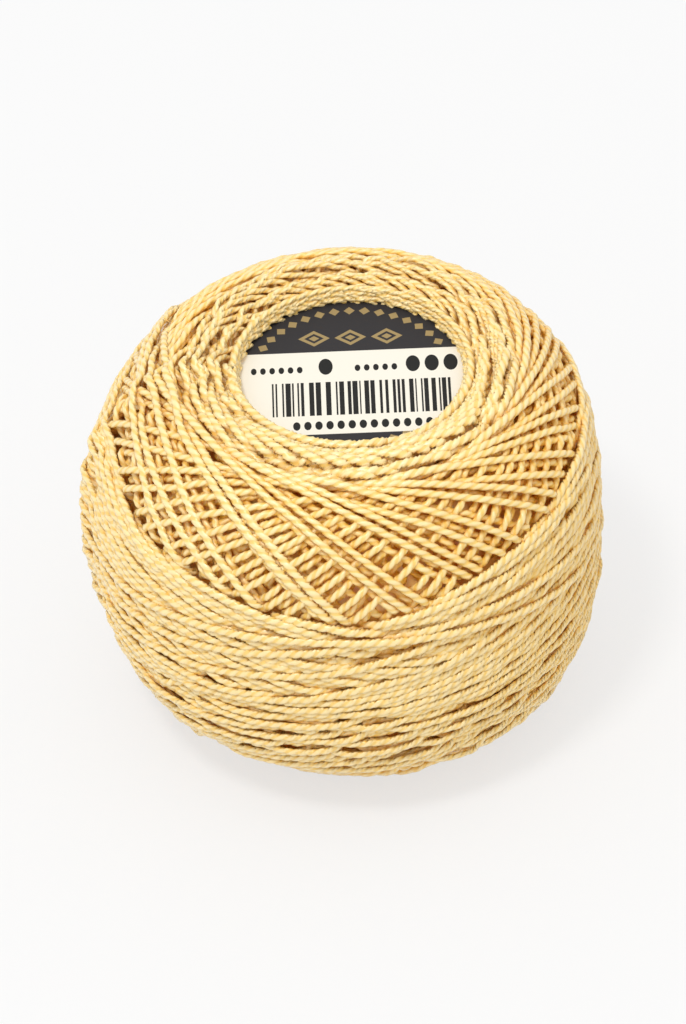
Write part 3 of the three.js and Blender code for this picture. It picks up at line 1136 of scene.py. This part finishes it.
def stripes(tree, x, low, high, shake):
    """Stripes of random widths between low and high, as a mask."""
    share = calc(tree, "DIVIDE", calc(tree, "SUBTRACT", x, low), high - low)
    ramp = wired(tree, "ShaderNodeValToRGB", Fac=share)
    ramp.color_ramp.interpolation = "CONSTANT"
    gaps, bars = (shake.choice(choices, STRIPES_AND_GAPS) for choices in ([1, 2, 3], [1, 1, 2, 3]))
    widths = np.where(np.arange(STRIPES_AND_GAPS) % 2, gaps, bars)
    ends = np.cumsum(widths) / widths.sum()
    elements = ramp.color_ramp.elements
    elements[0].position, elements[0].color = 0.0, (1, 1, 1, 1)
    elements[1].position, elements[1].color = 1.0, (0, 0, 0, 1)
    for k, end in enumerate(ends[:-1]):
        new = elements.new(float(end))
        new.color = (1, 1, 1, 1) if k % 2 else (0, 0, 0, 1)
    return every(tree, ramp.outputs["Color"], inside(tree, x, low, high))


def ink_mask(tree, x, y):
    """Everything printed in black on the pale field."""
    shake = np.random.default_rng(12)
    bars = either(tree, *(stripes(tree, x, left, right, shake) for left, right in STRIPE_GROUPS))
    bars = every(tree, bars, inside(tree, y, STRIPES_LOW, STRIPES_HIGH))
    return either(tree, bars, *(dots(tree, x, y, *row) for row in DOT_ROWS))


dot_counts = [round((last - first) / pitch) + 1 for first, last, pitch, level, size in DOT_ROWS]
print(f"dots in each row: {dot_counts}")


# %% Gold
def lozenge_at(tree, dx, dy, half_width):
    """0 in the middle of a lozenge 1 mm high each way and 1 on its outline."""
    return calc(tree, "ADD", calc(tree, "DIVIDE", calc(tree, "ABSOLUTE", dx), half_width),
                calc(tree, "ABSOLUTE", dy))


def gold_mask(tree, x, y, field):
    """The border and the three lozenges, in gold on the dark field."""
    around = calc(tree, "MULTIPLY", calc(tree, "ARCTAN2", x, y), BORDER_RADIUS)
    from_border = calc(tree, "SUBTRACT", length_of(tree, x, y), BORDER_RADIUS)
    bead = lozenge_at(tree, to_nearest(tree, around, BEAD_PITCH), from_border, 1.0)
    beads = every(tree, field, calc(tree, "LESS_THAN", bead, BEAD_SIZE))
    from_level = calc(tree, "SUBTRACT", y, LOZENGE_LEVEL)
    lozenge = lozenge_at(tree, to_nearest(tree, x, LOZENGE_PITCH), from_level, LOZENGE_HALF_WIDTH)
    rim, heart = inside(tree, lozenge, LOZENGE_RIM, 1.0), calc(tree, "LESS_THAN", lozenge, LOZENGE_HEART)
    three = inside(tree, x, -LOZENGE_END, LOZENGE_END)
    return either(tree, beads, every(tree, three, either(tree, rim, heart)))


print(f"the border has room for {2 * math.pi * BORDER_RADIUS / BEAD_PITCH:.0f} small lozenges")


# %% Label finish
def label_finish():
    """Satin card with its print, in the disc's own coordinates."""
    material, tree, shader = blank_finish("printed_card", **{"Roughness": 0.6, "Specular IOR Level": 0.25})
    coordinates = tree.nodes.new("ShaderNodeTexCoord")
    scaled = wired(tree, "ShaderNodeVectorMath", _0=coordinates.outputs["Object"], _1=(1 / MM,) * 3)
    scaled.operation = "MULTIPLY"
    axes = wired(tree, "ShaderNodeSeparateXYZ", Vector=scaled.outputs[0])
    x, y = axes.outputs[0], axes.outputs[1]
    field = either(tree, calc(tree, "GREATER_THAN", y, DARK_ABOVE), calc(tree, "LESS_THAN", y, DARK_BELOW))
    printed = mixed(tree, ink_mask(tree, x, y), CREAM, INK)
    printed = mixed(tree, field, printed, CHARCOAL)
    printed = mixed(tree, gold_mask(tree, x, y, field), printed, GOLD)
    tree.links.new(printed, shader.inputs["Base Color"])
    return material


label_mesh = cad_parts["label"].data
label_mesh.materials.clear()
label_mesh.materials.append(label_finish())
print(f"the label's print takes {len(label_mesh.materials[0].node_tree.nodes)} nodes")

# %% [markdown]
# ## The surface it stands on
# The ball stands on a plain pale surface with no edge in sight. If it were only white paint, it
# would look grey wherever the lamp is weak. So what the camera sees is partly diffuse, which
# keeps the shadow, and partly glows, which keeps the rest even. Light Path tells the rays
# apart: light that bounces on to the ball comes from an ordinary diffuse surface.

# %% Floor
SEEN_DIFFUSE, SEEN_GLOW = 0.26, 0.65
LIT_DIFFUSE = 0.75                # what the ball's own light bounces off

bpy.ops.mesh.primitive_plane_add(size=4)
floor = bpy.context.object
floor.name = "floor"


def grey(value):
    """A colour without hue."""
    return (value, value, value, 1)


def floor_finish():
    """A pale surface that keeps its shadow and stays even round it."""
    material, tree, shader = blank_finish(
        "pale_floor", **{"Roughness": 0.9, "Specular IOR Level": 0.0, "Emission Strength": 1.0})
    ray = tree.nodes.new("ShaderNodeLightPath")
    seen = either(tree, *(ray.outputs[f"Is {kind} Ray"] for kind in ("Camera", "Glossy", "Transmission")))
    tree.links.new(mixed(tree, seen, grey(LIT_DIFFUSE), grey(SEEN_DIFFUSE)), shader.inputs["Base Color"])
    tree.links.new(mixed(tree, seen, grey(0), grey(SEEN_GLOW)), shader.inputs["Emission Color"])
    return material


floor.data.materials.append(floor_finish())
print(f"floor {floor.dimensions.x:.0f} m across")
